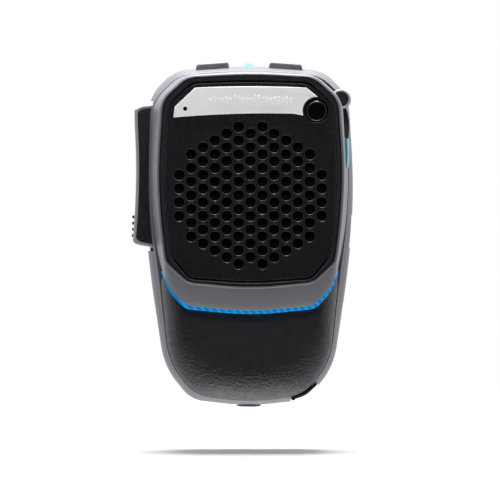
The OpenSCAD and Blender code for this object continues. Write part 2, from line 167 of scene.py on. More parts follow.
def drawn_in(half, margin):
    """A half outline drawn in by a margin on every side, by its width and height."""
    width = max(v[0] for v in half)
    top, low = half[0][1], half[-1][1]
    middle, reach = (top + low) / 2, (top - low) / 2
    across, along = (width - margin) / width, (reach - margin) / reach
    return [(x * across, middle + (z - middle) * along, r) for x, z, r in half]


def inside(points, margin):
    """A closed clockwise outline moved inwards by a margin, with mitred corners."""
    before = points - np.roll(points, 1, axis=0)
    after = np.roll(points, -1, axis=0) - points
    normals = []
    for way in (before, after):
        way = way / np.maximum(np.linalg.norm(way, axis=1, keepdims=True), 1e-9)
        normals.append(np.stack((-way[:, 1], way[:, 0]), axis=1))
    total = normals[0] + normals[1]
    scale = 1 + np.sum(normals[0] * normals[1], axis=1, keepdims=True)
    return points - margin * total / np.maximum(scale, 0.35)


def mixed(a, b, t):
    return a + (b - a) * t


def lift(z):
    """Depth of the bezel's back edge: on the seam, and lifted to the lip below the panel."""
    t = np.clip((-26.5 - z) / 5, 0, 1)
    return mixed(D_SEAM, D_LIP, t * t * (3 - 2 * t))


def ring(points, depth):
    """An outline placed at a depth (one number or one for each point), in mm."""
    depth = np.broadcast_to(depth, len(points))
    return np.stack((points[:, 0], BACK_Y - depth, points[:, 1]), axis=1)


def circle(centre, radius, count=48):
    a = -2 * math.pi * np.arange(count) / count
    return np.stack((centre[0] + radius * np.cos(a), centre[1] + radius * np.sin(a)), axis=1)


# ---------------------------------------------------------------- mesh building
def made(name, verts, faces, sharp=40):
    mesh = bpy.data.meshes.new(name)
    corners = [tuple(v) for v in np.asarray(verts) * MM]
    mesh.from_pydata(corners, [], [tuple(int(i) for i in face) for face in faces])
    return placed(name, mesh, sharp)


def shaded(mesh, sharp):
    """Smooth shading up to an angle; the flat faces to the front and back stay truly flat."""
    mesh.set_sharp_from_angle(angle=math.radians(sharp))
    for polygon in mesh.polygons:
        polygon.use_smooth = abs(polygon.normal.y) < 0.9999


def placed(name, mesh, sharp=40):
    work = bmesh.new()
    work.from_mesh(mesh)
    bmesh.ops.recalc_face_normals(work, faces=work.faces)
    work.to_mesh(mesh)
    work.free()
    shaded(mesh, sharp)
    obj = bpy.data.objects.new(name, mesh)
    bpy.context.scene.collection.objects.link(obj)
    return obj


def lofted(name, rings, looped=False, sharp=40):
    """A skin through rings of equal length, closed at its ends or looped from the last to the first."""
    count = len(rings[0])
    faces = []
    for i in range(len(rings) - (0 if looped else 1)):
        low, high = i * count, (i + 1) % len(rings) * count
        faces += [(low + j, low + (j + 1) % count, high + (j + 1) % count, high + j) for j in range(count)]
    if not looped:
        faces += [tuple(range(count))[::-1], tuple(range((len(rings) - 1) * count, len(rings) * count))]
    return made(name, np.concatenate(rings), faces, sharp)


def rounding(radius, steps=4):
    """(inset, fall) pairs round a quarter circle, from the side of a piece to its face."""
    return [(radius * (1 - math.cos(a)), radius * (1 - math.sin(a)))
            for a in np.linspace(0, math.pi / 2, steps + 1)]


def puck(name, outline, low, high, r_low=0.2, r_high=0.3, sharp=40):
    """A solid of one outline between two depths, with rounded edges."""
    rings = [ring(inside(outline, g), low + fall) for g, fall in rounding(r_low)[::-1]]
    rings += [ring(inside(outline, g), high - fall) for g, fall in rounding(r_high)]
    return lofted(name, rings, sharp=sharp)


def hoop(name, outer, inner, low, high, r=0.25, sharp=40):
    """A flat frame between two outlines and two depths, with rounded front edges."""
    rings = [ring(outer, low)]
    rings += [ring(inside(outer, g), high - fall) for g, fall in rounding(r)]
    rings += [ring(inside(inner, -g), high - fall) for g, fall in rounding(r)[::-1]]
    rings += [ring(inner, low)]
    return lofted(name, rings, looped=True, sharp=sharp)


def block(name, x_ends, z_ends, depths):
    """A plain block between two ends across, two ends upwards and two depths."""
    y_ends = (BACK_Y - depths[1], BACK_Y - depths[0])
    corners = [(x, y, z) for x in x_ends for y in y_ends for z in z_ends]
    faces = [(0, 1, 3, 2), (4, 6, 7, 5), (0, 4, 5, 1), (2, 3, 7, 6), (0, 2, 6, 4), (1, 5, 7, 3)]
    return made(name, corners, faces)


def pillar(name, centre, radius, low, high, count=48):
    outline = circle(centre, radius, count)
    return lofted(name, [ring(outline, low), ring(outline, high)])


def turned(name, profile, centre, count=64, sharp=40):
    """A lathed piece on an axis along depth: profile is (radius, depth) from its back to its front."""
    rings = [ring(circle(centre, max(r, 0.001), count), d) for r, d in profile]
    return lofted(name, rings, sharp=sharp)


def upright(name, profile, depth, count=64):
    """A lathed piece on a vertical axis at a depth: profile is (radius, z) from its foot to its top."""
    a = -2 * math.pi * np.arange(count) / count
    rings = [np.stack((r * np.cos(a), BACK_Y - depth + r * np.sin(a), np.full(count, z)), axis=1)
             for r, z in profile]
    return lofted(name, rings)


def cut(obj, cutters, operation="DIFFERENCE", sharp=35):
    """Takes the cutters away from a piece, or with "UNION" adds them to it, and removes them."""
    for cutter in cutters:
        change = obj.modifiers.new("cut", "BOOLEAN")
        change.operation = operation
        change.solver = "EXACT"
        change.object = cutter
    bpy.context.view_layer.update()
    result = bpy.data.meshes.new_from_object(obj.evaluated_get(bpy.context.evaluated_depsgraph_get()))
    obj.modifiers.clear()
    obj.data = result
    for cutter in cutters:
        bpy.data.objects.remove(cutter)
    shaded(result, sharp)
    return obj


def joined(name, parts):
    """Several meshes as one piece."""
    work = bmesh.new()
    for part in parts:
        work.from_mesh(part.data)
        bpy.data.objects.remove(part)
    mesh = bpy.data.meshes.new(name)
    work.to_mesh(mesh)
    work.free()
    return placed(name, mesh)


# ---------------------------------------------------------------- materials
def linear(colour):
    """A screen colour of three numbers up to 255 as a linear one, with full opacity."""
    shares = [c / 255 for c in colour]
    return tuple(c / 12.92 if c <= 0.04045 else ((c + 0.055) / 1.055) ** 2.4 for c in shares) + (1,)


class Finish:
    """One procedural material, built up from a Principled shader in object space."""

    def __init__(self, name, colour, rough, metallic=0.0, specular=0.5, coat=0.0, coat_rough=0.1):
        self.material = bpy.data.materials.new(name)
        self.material.use_nodes = True
        self.nodes, self.links = self.material.node_tree.nodes, self.material.node_tree.links
        self.shader = self.nodes["Principled BSDF"]
        self.colour, self.rough = linear(colour), rough
        self.shader.inputs["Base Color"].default_value = self.colour
        self.shader.inputs["Roughness"].default_value = rough
        self.shader.inputs["Metallic"].default_value = metallic
        self.shader.inputs["Specular IOR Level"].default_value = specular
        self.shader.inputs["Coat Weight"].default_value = coat
        self.shader.inputs["Coat Roughness"].default_value = coat_rough
        self.place = self.nodes.new("ShaderNodeTexCoord").outputs["Object"]
        self.normal = None

    def stretched(self, factors):
        node = self.nodes.new("ShaderNodeMapping")
        node.inputs["Scale"].default_value = factors
        self.links.new(self.place, node.inputs["Vector"])
        return node.outputs["Vector"]

    def noise(self, per_mm, detail=3, stretch=None, rough=0.6):
        node = self.nodes.new("ShaderNodeTexNoise")
        node.inputs["Scale"].default_value = per_mm / MM
        node.inputs["Detail"].default_value = detail
        node.inputs["Roughness"].default_value = rough
        self.links.new(self.stretched(stretch) if stretch else self.place, node.inputs["Vector"])
        return node.outputs["Fac"]

    def cells(self, per_mm, feature="F1", smooth=0.5):
        node = self.nodes.new("ShaderNodeTexVoronoi")
        node.feature = feature
        node.inputs["Scale"].default_value = per_mm / MM
        if feature == "SMOOTH_F1":
            node.inputs["Smoothness"].default_value = smooth
        self.links.new(self.place, node.inputs["Vector"])
        return node.outputs["Distance"]

    def ramp(self, value, stops):
        node = self.nodes.new("ShaderNodeValToRGB")
        while len(node.color_ramp.elements) < len(stops):
            node.color_ramp.elements.new(0.5)
        for element, (at, grey) in zip(node.color_ramp.elements, stops):
            element.position = at
            element.color = (grey, grey, grey, 1) if not isinstance(grey, tuple) else grey
        self.links.new(value, node.inputs["Fac"])
        return node.outputs["Color"]

    def bump(self, height, depth_mm, strength=1.0):
        node = self.nodes.new("ShaderNodeBump")
        node.inputs["Strength"].default_value = strength
        node.inputs["Distance"].default_value = depth_mm * MM
        self.links.new(height, node.inputs["Height"])
        if self.normal:
            self.links.new(self.normal, node.inputs["Normal"])
        self.normal = node.outputs["Normal"]
        self.links.new(self.normal, self.shader.inputs["Normal"])
        return self

    def vary_colour(self, value, spread):
        """Makes the colour run between two shades of itself."""
        dark = tuple(c * (1 - spread) for c in self.colour[:3]) + (1,)
        light = tuple(min(c * (1 + spread), 1) for c in self.colour[:3]) + (1,)
        self.links.new(self.ramp(value, [(0.3, dark), (0.7, light)]), self.shader.inputs["Base Color"])
        return self

    def vary_rough(self, value, spread):
        low, high = max(self.rough - spread, 0.02), min(self.rough + spread, 1)
        self.links.new(self.ramp(value, [(0.3, low), (0.7, high)]), self.shader.inputs["Roughness"])
        return self


def moulded(name, colour, rough, grain=0.012):
    """Satin moulded plastic: a fine even spark grain and faint flow in its gloss."""
    f = Finish(name, colour, rough, specular=0.45)
    f.vary_colour(f.noise(0.08, 2), 0.04)
    f.vary_rough(f.noise(0.9, 3), 0.05)
    return f.bump(f.noise(5.5, 2), grain).material


def grained(name, colour, rough, depth=0.13):
    """Leather-like moulded grain: soft cells with crease lines between them, and fine stipple on top. The
    crease pattern also paints shade into the colour: darker in the crease lines, lighter on the ridges.
    """
    f = Finish(name, colour, rough, specular=0.5)
    crease_depth_and_shade = f.noise(1.9, 4, (1, 1, 1.7), rough=0.65)
    # painted shade: the colour follows the crease bump, darker down in the crease lines and lighter on the
    # ridges
    f.vary_colour(crease_depth_and_shade, 0.6)
    f.vary_rough(f.noise(0.5, 3), 0.07)
    f.bump(f.cells(1.35, "SMOOTH_F1", 0.35), depth)
    f.bump(crease_depth_and_shade, depth * 0.9, 0.9)
    return f.bump(f.noise(6, 2), 0.02, 0.6).material


def rubber(name, colour, rough, depth=0.11):
    """Matt rubber: low soft cells under a fine stipple."""
    f = Finish(name, colour, rough, specular=0.25)
    f.vary_colour(f.noise(2.2, 3, rough=0.7), 0.8)
    f.bump(f.cells(2.2, "SMOOTH_F1", 0.3), depth)
    return f.bump(f.noise(5, 3), depth * 0.6, 0.7).material


def metal(name, colour, rough):
    """Plated or turned metal, a little uneven in its gloss."""
    f = Finish(name, colour, rough, metallic=1.0)
    f.vary_rough(f.noise(0.7, 4), 0.07)
    f.vary_colour(f.noise(0.15, 2), 0.05)
    return f.bump(f.noise(3.0, 3), 0.006, 0.5).material


def silvered(name, colour, rough):
    """Satin silver lacquer: a little metallic, with a faint brushed lay along its length."""
    f = Finish(name, colour, rough, metallic=0.12)
    f.vary_rough(f.noise(0.4, 3, (1, 1, 10)), 0.06)
    f.vary_colour(f.noise(0.12, 2), 0.02)
    return f.bump(f.noise(3.0, 3, (0.4, 1, 10)), 0.004, 0.4).material


def gloss(name, colour, rough, coat):
    """Polished plastic under a thin clear coat."""
    f = Finish(name, colour, rough, coat=coat, coat_rough=0.05)
    f.vary_rough(f.noise(0.35, 4), 0.03)
    return f.bump(f.noise(0.6, 2), 0.004, 0.3).material


def woven(name, colour):
    """Fine dark cloth."""
    f = Finish(name, colour, 0.85, specular=0.2)
    height = f.cells(2.2, "F1")
    f.vary_colour(height, 0.4)
    return f.bump(height, 0.1).material


def glowing(name, colour, glow, strength, dash=None):
    """A light guide: its own colour, lit from within; dash, if given, is the scale of slanted bars."""
    f = Finish(name, colour, 0.35, specular=0.15)
    lit = f.shader.inputs["Emission Color"]
    lit.default_value = linear(glow)
    f.shader.inputs["Emission Strength"].default_value = strength
    if dash:
        wave = f.nodes.new("ShaderNodeTexWave")
        wave.wave_type = "BANDS"
        wave.bands_direction = "X"
        wave.inputs["Scale"].default_value = dash / MM
        wave.inputs["Distortion"].default_value = 0.0
        turn = f.nodes.new("ShaderNodeMapping")
        turn.inputs["Rotation"].default_value = (0, math.radians(35), 0)
        f.links.new(f.place, turn.inputs["Vector"])
        f.links.new(turn.outputs["Vector"], wave.inputs["Vector"])
        dim = tuple(c * 0.55 for c in linear(glow)[:3]) + (1,)
        f.links.new(f.ramp(wave.outputs["Fac"], [(0.25, dim), (0.75, linear(glow))]), lit)
    f.vary_rough(f.noise(0.6, 3), 0.05)
    return f.bump(f.noise(2.0, 2), 0.01, 0.3).material


FINISHES = {
    "grey_shell": moulded("grey_shell", (94, 93, 99), 0.45),
    "grained_cover": grained("grained_cover", (20, 20, 22), 0.5),
    "soft_rubber": rubber("soft_rubber", (24, 24, 27), 0.6),
    "panel": moulded("panel", (28, 28, 31), 0.28, 0.003),
    "nameplate": silvered("nameplate", (248, 248, 250), 0.4),
    "cloth": woven("cloth", (8, 8, 9)),
    "light_guide": glowing("light_guide", (6, 60, 120), (5, 145, 213), 0.95, dash=0.18),
    "led": glowing("led", (235, 235, 225), (235, 240, 255), 0.4),
    "status_light": glowing("status_light", (170, 225, 235), (150, 232, 245), 0.45),
    "steel": metal("steel", (186, 186, 190), 0.3),
    "paper_cone": rubber("paper_cone", (26, 26, 28), 0.8),
    "magnet": metal("magnet", (92, 92, 96), 0.6),
    "circuit_board": gloss("circuit_board", (22, 78, 44), 0.3, 0.3),
    "battery_wrap": gloss("battery_wrap", (120, 142, 170), 0.3, 0.3),
    "foam": rubber("foam", (46, 46, 48), 0.95, 0.12),
    "plug_rubber": rubber("plug_rubber", (66, 65, 70), 0.6, 0.03),
    "stud_metal": metal("stud_metal", (190, 190, 194), 0.24),
    "dark_screw": metal("dark_screw", (62, 62, 66), 0.34),
    "grey_trim": moulded("grey_trim", (156, 155, 160), 0.4),
    "dark_plastic": moulded("dark_plastic", (24, 24, 28), 0.45),
    "gloss_black": gloss("gloss_black", (6, 6, 7), 0.12, 0.3),
    "selector_mark": gloss("selector_mark", (44, 150, 176), 0.4, 0.0),
}
SLOT_OF = {part["node"]: part["material_slot"] for part in frame["record"]["subparts"]}
BODY_OF = {node: body for body, nodes in frame["record"]["behaviour"]["bodies"].items() for node in nodes}


def finished(obj, *nodes, slot=None):
    """Gives a piece its material, its body and the CAD nodes it stands for."""
    slot = slot or SLOT_OF[nodes[0]]
    obj.data.materials.clear()
    obj.data.materials.append(FINISHES[slot])
    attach(obj, BODY_OF[nodes[0]])
    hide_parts(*nodes)
    return obj


# ---------------------------------------------------------------- housing
def rear_shell():
    """The deep back half: a rounded back, a widest line, and a hollow with its openings cut in."""
    wide, rim = smooth_outline(SHELL), smooth_outline(RIM)
    back_inset, power = 6.5, 2 / 2.15
    rings = []
    for a in np.linspace(0, math.pi / 2, 15):
        g = back_inset * (1 - math.sin(a) ** power) if a > 0 else back_inset
        d = D_WIDE * (1 - math.cos(a) ** power)
        rings.append(ring(smooth_outline(drawn_in(SHELL, g)), d))
    edge = 0.35
    for t in np.linspace(0, 1, 9)[1:]:
        rings.append(ring(mixed(wide, rim, t ** 2.2), mixed(D_WIDE, D_SEAM - edge, t)))
    rings += [ring(inside(rim, g), D_SEAM - fall) for g, fall in rounding(edge)[1:]]
    rings += [ring(inside(rim, 1.3), D_SEAM), ring(inside(wide, 2.4), D_WIDE),
              ring(inside(wide, 3.0), 6.8), ring(smooth_outline(drawn_in(SHELL, 6.2)), 1.8)]
    shell = lofted("rear_shell_skin", rings, sharp=30)
    shell = cut(shell, [pillar("boss", p, 2.9, 1.2, 3.2) for p in SCREW_AT], "UNION")
    talk_bar_z = (PTT_TOP - PTT_LEN - 0.5, PTT_TOP + 2)
    cutters = [block("c", (-40, -25), talk_bar_z, (PTT_D - 0.4, PTT_D + PTT_W + 0.4)),
               block("c", (-1.25, 1.25), (24, 40), (10.75, 13.25)),
               block("c", (26, 40), (SIDE_Z - 4.75, SIDE_Z + 4.75), (8.75, 15.25))]
    for side in (-1, 1):
        middle = side * VOLUME_X
        cutters.append(block("c", (middle - 5, middle + 5), (24, 40), (7.75, 16.25)))
    cutters.append(sector_solid("c", 10, 15.75, -13, 70, 16.2, D_SEAM + 1))
    pocket = [block("c", (-4.3, 4.3), (-4, 0.6), (7.6, D_SEAM + 1)),
              block("c", (-4.8, -3.3), (-4, 0.35), (7.6, D_SEAM + 1)),
              pillar("c", PORT_HINGE, 0.7, 7.6, D_SEAM + 1),
              block("c", (-3.8, 3.8), (-4, 5), (9.7, 13.7))]
    cutters += [into_port(c) for c in pocket]
    cutters += [pillar("c", p, 2.3, -1, 2.4) for p in SCREW_AT]
    cutters.append(upright("c", [(3.6, -70), (3.6, -67.55)], PLUG_D))
    return finished(cut(shell, cutters), "rear_shell")


def into_port(obj):
    """Turns a piece drawn about the port's middle into its place on the slanted corner."""
    c, s = math.cos(PORT_TILT), math.sin(PORT_TILT)
    for v in obj.data.vertices:
        x, z = v.co.x, v.co.z
        v.co.x, v.co.z = PORT_AT[0] * MM + x * c - z * s, PORT_AT[1] * MM + x * s + z * c
    return obj


def sector(r0, r1, a0, a1, steps=24):
    """A ring sector about the selector's pivot, between two radii and two angles in degrees."""
    a = np.radians(np.linspace(a0, a1, steps + 1))
    centre = np.array(SELECTOR_AT)
    outer = centre + r1 * np.stack((np.cos(a), np.sin(a)), axis=1)
    inner = centre + r0 * np.stack((np.cos(a), np.sin(a)), axis=1)
    return np.concatenate((outer[::-1], inner))


def sector_solid(name, r0, r1, a0, a1, low, high):
    outline = sector(r0, r1, a0, a1)
    return lofted(name, [ring(outline, low), ring(outline, high)])


def front_bezel():
    """The frame round the panel: a sloping skirt, a rounded lip and a stepped pocket."""
    seam, gasket = smooth_outline(SEAM), smooth_outline(GASKET)
    back = lift(seam[:, 1])
    edge, gap, lip_edge = 0.3, 0.2, 0.7
    shoulder = inside(gasket, -0.75)
    rings = [ring(inside(seam, 1.7), back + gap)]
    rings += [ring(inside(seam, g), back + gap + fall) for g, fall in rounding(edge)[::-1]]
    for t in np.linspace(0, 1, 12)[1:]:
        rings.append(ring(mixed(seam, shoulder, t ** 1.15), mixed(back + gap + edge, D_FRONT - lip_edge, t)))
    rings += [ring(inside(shoulder, g), D_FRONT - fall) for g, fall in rounding(lip_edge, 6)[1:]]
    pocket = inside(gasket, -0.02)
    window = smooth_outline(drawn_in(PANEL, 1.4))
    rings += [ring(pocket, D_FRONT - 0.15), ring(pocket, D_LEDGE), ring(window, D_LEDGE),
              ring(window, D_LEDGE - 1.2), ring(smooth_outline(drawn_in(GASKET, 1.2)), D_LEDGE - 1.3)]
    bezel = lofted("bezel_skin", rings, looped=True, sharp=30)
    cutters = [sector_solid("c", 13.8, 24, -13, 70, D_SEAM - 1, 28.5),
               track_slot("c"),
               mark_solid("c", 0.03),
               pillar("c", BUTTON_AT, 4.2, D_LEDGE - 2, D_LEDGE + 0.5),
               pillar("c", MIC_AT, 3.5, D_LEDGE - 2, D_LEDGE + 0.5)]
    return finished(cut(bezel, cutters), "front_bezel")


def track_slot(name):
    """The open end of the selector's track in the bezel's corner, narrowing to a point at its top."""
    a = np.radians(np.linspace(33, 66, 25))
    away = np.stack((np.cos(a), np.sin(a)), axis=1)
    near = np.array(SELECTOR_AT) + away * np.linspace(14.9, 15.5, 25)[:, None]
    far = np.array(SELECTOR_AT) + away * 18
    outline = np.concatenate((far[::-1], near))
    return lofted(name, [ring(outline, D_SEAM - 1), ring(outline, D_FRONT + 1)])


def mark_solid(name, grow):
    """The lens-shaped mark at the foot of the selector's track, which leans with the bezel's side."""
    t = np.linspace(0, 1, 17)
    z = mixed(9 + grow, 0.8 - grow, t)
    rings = []
    for d in np.linspace(D_SEAM - 3 * grow, 27 + 3 * grow, 3):
        lean = (d - D_SEAM) / 10
        outer = np.stack((28.65 + grow - lean + 0.2 * np.sin(math.pi * t), z), axis=1)
        inner = np.stack((mixed(27.7, 28.5, t) - grow - lean, z), axis=1)
        rings.append(ring(np.concatenate((outer, inner[::-1])), d))
    return lofted(name, rings)


def front_cover():
    """The grained lower front, a shallow dome with a flat top that runs on under the bezel."""
    chin, plate = smooth_outline(CHIN), smooth_outline(PLATE)
    low_chin, low_plate = inside(chin, 1.6), smooth_outline(drawn_in(PLATE, 1))
    rise = D_PLATE - D_SEAM
    low_rise = D_PLATE - 1.8 - D_SEAM
    rings = [ring(mixed(low_chin, low_plate, 1 - math.cos(a)), D_SEAM + low_rise * math.sin(a))
             for a in np.radians((90, 60, 30))]
    rings += [ring(low_chin, D_SEAM)]
    rings += [ring(mixed(chin, plate, 1 - math.cos(a)), D_SEAM + rise * math.sin(a))
              for a in np.radians(np.linspace(0, 90, 19))]
    cover = lofted("chin_skin", rings, sharp=50)
    return finished(cut(cover, [pillar("c", SPEAKER_AT, 15.6, 20, 30, 64)], sharp=50), "front_cover")


def bezel_gasket():
    outer, inner = inside(smooth_outline(GASKET), 0.12), inside(smooth_outline(PANEL), -0.55)
    band = hoop("gasket_ring", outer, inner, D_LEDGE, D_FRONT - 0.15, 0.35, sharp=60)
    return finished(band, "bezel_gasket")


def sound_holes():
    """The middles of the sound holes: upright columns, each shifted by half a step from the last."""
    pitch = 3.4
    for k in range(-6, 7):
        count = {0: 10, 6: 4}.get(abs(k), 12 - abs(k))
        for i in range(count):
            up = (i - (count - 1) / 2) * pitch * 2 / math.sqrt(3)
            yield SPEAKER_AT[0] + k * pitch, SPEAKER_AT[1] + up


def grille_panel():
    """A flat moulding with a rounded edge on its outline and on every hole."""
    chamfer, front = 0.26, D_LEDGE + 2.1
    curve = bpy.data.curves.new("panel", "CURVE")
    curve.dimensions, curve.fill_mode = "2D", "BOTH"
    curve.bevel_depth, curve.bevel_resolution = chamfer * MM, 2
    curve.extrude = ((front - D_LEDGE) / 2 - chamfer) * MM
    curve.offset = -chamfer * MM
    outlines = [smooth_outline(PANEL)[::-1], circle(BUTTON_AT, 3.3), circle(MIC_AT, 0.6, 24)]
    outlines += [circle(p, 1.5, 32) for p in sound_holes()]
    for points in outlines:
        spline = curve.splines.new("POLY")
        spline.points.add(len(points) - 1)
        for target, (x, z) in zip(spline.points, points):
            target.co = (x * MM, z * MM, 0, 1)
        spline.use_cyclic_u = True
    holder = bpy.data.objects.new("panel", curve)
    bpy.context.scene.collection.objects.link(holder)
    bpy.context.view_layer.update()
    mesh = bpy.data.meshes.new_from_object(holder.evaluated_get(bpy.context.evaluated_depsgraph_get()))
    bpy.data.objects.remove(holder)
    middle = BACK_Y - (front + D_LEDGE) / 2
    for v in mesh.vertices:
        v.co = (v.co.x, middle * MM - v.co.z, v.co.y)
    work = bmesh.new()
    work.from_mesh(mesh)
    bmesh.ops.remove_doubles(work, verts=work.verts, dist=0.00001)
    work.to_mesh(mesh)
    work.free()
    return finished(placed("panel_moulding", mesh, 35), "grille_panel")


def nameplate():
    """A thin silver plate that arches over the grille, notched round the key, with raised bars."""
    top = [(x, 23.6 + 0.4 * (1 - (x / 16) ** 2)) for x in np.linspace(-15.9, 16, 13)]
    notch = [(BUTTON_AT[0] + 4.0 * math.cos(a), BUTTON_AT[1] + 4.0 * math.sin(a))
             for a in np.radians(np.linspace(84, 200, 20))]
    foot = [(x, 15.1 + 0.55 * (x + 22.1) / 37.2 + 0.8 * (1 - (x / 22.1) ** 2))
            for x in np.linspace(14.9, -22.1, 15)]
    outline = np.array(top + [(19.2, 21.0)] + notch[1:] + foot[1:] + [(-21.7, 18.2)])
    plate = puck("name_plate_blank", outline, D_LEDGE + 2.05, D_FRONT + 0.1, 0.02, 0.16, sharp=30)
    plate = cut(plate, [pillar("c", MIC_AT, 0.6, 30, 40, 24)], sharp=25)
    bars = []
    count, pitch = 21, 1.15
    for i in range(count):
        x = (i - (count - 1) / 2) * pitch
        fade = 1 - (2 * i / (count - 1) - 1) ** 2 * 0.6
        height = 0.5 + 1.35 * abs(math.sin(i * 1.9) * math.cos(i * 0.53)) * fade
        bars.append(puck("bar", capsule((x, 19.7), 0.27, height), D_FRONT, D_FRONT + 0.28, 0.02, 0.1))
    return finished(joined("name_plate", [plate] + bars), "nameplate")


def capsule(centre, radius, reach):
    """A clockwise upright slot shape."""
    a = np.linspace(math.pi, 0, 9)
    top = np.stack((radius * np.cos(a), reach + radius * np.sin(a)), axis=1)
    return np.concatenate((top, -top)) + np.array(centre)


def light_strip():
    """The blue bar that shows between the bezel's lower edge and the lower front."""
    inner, outer = inside(smooth_outline(SEAM), 1.0), smooth_outline(STRIP)
    keep = [i for i in range(len(outer)) if outer[i][1] < -28.6]
    depth = lift(outer[:, 1]) + 0.1
    rings = []
    for i in keep:
        section = [(inner[i], D_PLATE + 0.15), (outer[i], D_PLATE + 0.15), (outer[i], depth[i] - 0.2),
                   (mixed(outer[i], inner[i], 0.25), depth[i]), (inner[i], depth[i])]
        rings.append(np.array([(p[0], BACK_Y - min(d, max(depth[i], D_SEAM)), p[1]) for p, d in section]))
    return finished(lofted("light_guide_bar", rings, sharp=50), "light_strip")


def selector_mark():
    return finished(mark_solid("selector_inlay", 0), "selector_mark")


def status_light_pipe():
    outline = curved([(1.2, 31.1, 0.4), (1.2, 27.4, 0.1), (-1.2, 27.4, 0.1), (-1.2, 31.1, 0.4)], 5, 1)
    return finished(puck("light_pipe", outline, 10.8, 13.2, 0.15, 0.15), "status_light_pipe")


# ---------------------------------------------------------------- talk bar
def talk_bar_outline(margin):
    """The bar seen from the front, clockwise from its lower inner corner, drawn in by a margin."""
    x, top, low = PTT_X + margin, PTT_TOP - 0.4, PTT_TOP - PTT_LEN
    corners = [(-27, low + 0.4 + margin, 0.3), (x + 0.6, low + 1.5 + margin, 0.7),
               (x - 0.3, low + 2.4 + margin, 0.7)]
    for t in np.linspace(0.9, 0.1, 7):
        corners.append((x + 0.8 * math.sin(math.pi * t) - 0.3 * t, mixed(top, low + 2.4, t), 1.5))
    corners += [(x + 0.2, top - margin, 0.5), (-31.2, PTT_TOP + 0.7 - margin, 1.0),
                (-28.6, PTT_TOP + 1.0 - margin, 1.0), (-27, PTT_TOP + 1.1 - margin, 0.2)]
    return curved(corners, 5, 2)


def talk_bar_ribs(radius, low, high):
    """Four rounded grip ribs near the bar's lower end."""
    ribs = []
    for i in range(4):
        z = PTT_TOP - PTT_LEN + 4 + 1.8 * i
        tip = PTT_X - 0.2 + 0.05 * i
        corners = [(tip - radius, z + radius, radius), (tip + 2, z + radius, 0.05),
                   (tip + 2, z - radius, 0.05), (tip - radius, z - radius, radius)]
        ribs.append(puck("rib", curved(corners, 6, 1), low, high, 0.2, 0.2))
    return ribs


def talk_bar():
    """A grey trim band round a black rubber pad; the pad's arm turns on the pivot pin."""
    front = PTT_D + PTT_W
    low, high = PTT_D + 0.1, PTT_D + PTT_W - 0.1
    outer, inner = talk_bar_outline(0), talk_bar_outline(0.9)
    rings = [ring(inner, low)] + [ring(inside(outer, g), low + fall) for g, fall in rounding(0.5)[::-1]]
    rings += [ring(inside(outer, g), high - fall) for g, fall in rounding(0.5)] + [ring(inner, high)]
    trim = lofted("talk_bar_trim", rings, looped=True)
    trim = cut(trim, talk_bar_ribs(0.42, PTT_D + 1.2, PTT_D + PTT_W - 1.2))
    finished(trim, "ptt_bar")
    pad = puck("talk_bar_pad", talk_bar_outline(0.9), PTT_D, front, 0.25, 0.4)
    arm_x, arm_z = (-28, PTT_PIVOT[0]), (PTT_PIVOT[1] - 1.8, PTT_PIVOT[1] + 1.8)
    arm = [block("arm", arm_x, arm_z, (PTT_D, front)), pillar("arm", PTT_PIVOT, 1.8, PTT_D, front)]
    pad = cut(pad, arm + talk_bar_ribs(0.4, PTT_D + 1.2, PTT_D + PTT_W - 1.2), "UNION")
    return finished(cut(pad, [pillar("bore", PTT_PIVOT, 1.05, 0, 25)]), "ptt_core")


def talk_bar_spring():
    """The return spring, coiled from its outer end to its seat."""
    outer_end, seat, radius, wire, turns = -26.6, -23.3, 1.8, 0.25, 4
    b = np.linspace(0, 2 * math.pi, 11)[:-1]
    rings = []
    for t in np.linspace(0, 1, turns * 24 + 1):
        a, reach = 2 * math.pi * turns * t, radius + wire * np.cos(b)
        x = mixed(outer_end, seat, t) + wire * np.sin(b)
        rings.append(np.stack((x, BACK_Y - 12 + reach * math.cos(a), -16 + reach * math.sin(a)), axis=1))
    spring = finished(lofted("return_spring", rings), "ptt_spring")
    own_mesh(spring)


# ---------------------------------------------------------------- keys
def volume_button(node, side):
    """A volume key at the top, right of the middle for side 1 and left of it for side -1."""
    half, top = VOLUME_W / 2, 29.9
    left, right = (0.8, 1.4) if side < 0 else (1.4, 0.8)
    corners = [(-half, 27.2, 0.1), (-half, top - 0.6 + left, 0.9), (-half + 0.6, top + left, 0.4),
               (half - 0.6, top + right, 0.4), (half, top - 0.6 + right, 0.9), (half, 27.2, 0.1)]
    outline = curved(corners, 5, 3) + np.array((side * VOLUME_X, 0))
    cap = puck("cap", outline, 8, 16, 0.35, 0.45)
    middle, stem = side * VOLUME_X, side * 8.4
    flange = block("flange", (middle - half - 0.4, middle + half + 0.4), (25.4, 26.2), (7.6, 16.4))
    core = block("core", (middle - half + 0.1, middle + half - 0.1), (26.0, 27.6), (8.1, 15.9))
    plunger = block("stem", (stem - 2, stem + 2), (25.4, 27.4), (9, 15))
    return finished(cut(cap, [flange, core, plunger], "UNION"), node)


def front_button():
    """A glossy cap: a rounded rim round a shallow dished top."""
    r, top, edge, dish = 3.0, D_FRONT + 0.2, 0.6, 0.16
    profile = [(r + 0.7, D_LEDGE - 1.2), (r + 0.7, D_LEDGE - 0.4), (r, D_LEDGE - 0.4), (r, top - edge)]
    profile += [(r - edge + edge * math.cos(a), top - edge + edge * math.sin(a))
                for a in np.linspace(0.25, math.pi / 2, 8)]
    profile += [(r - edge - w, top - dish * math.sin(w / (r - edge) * math.pi / 2))
                for w in (0.2, 0.6, 1.1, 1.7, 2.3)]
    return finished(turned("round_key", profile, BUTTON_AT, 96, 50), "front_button")


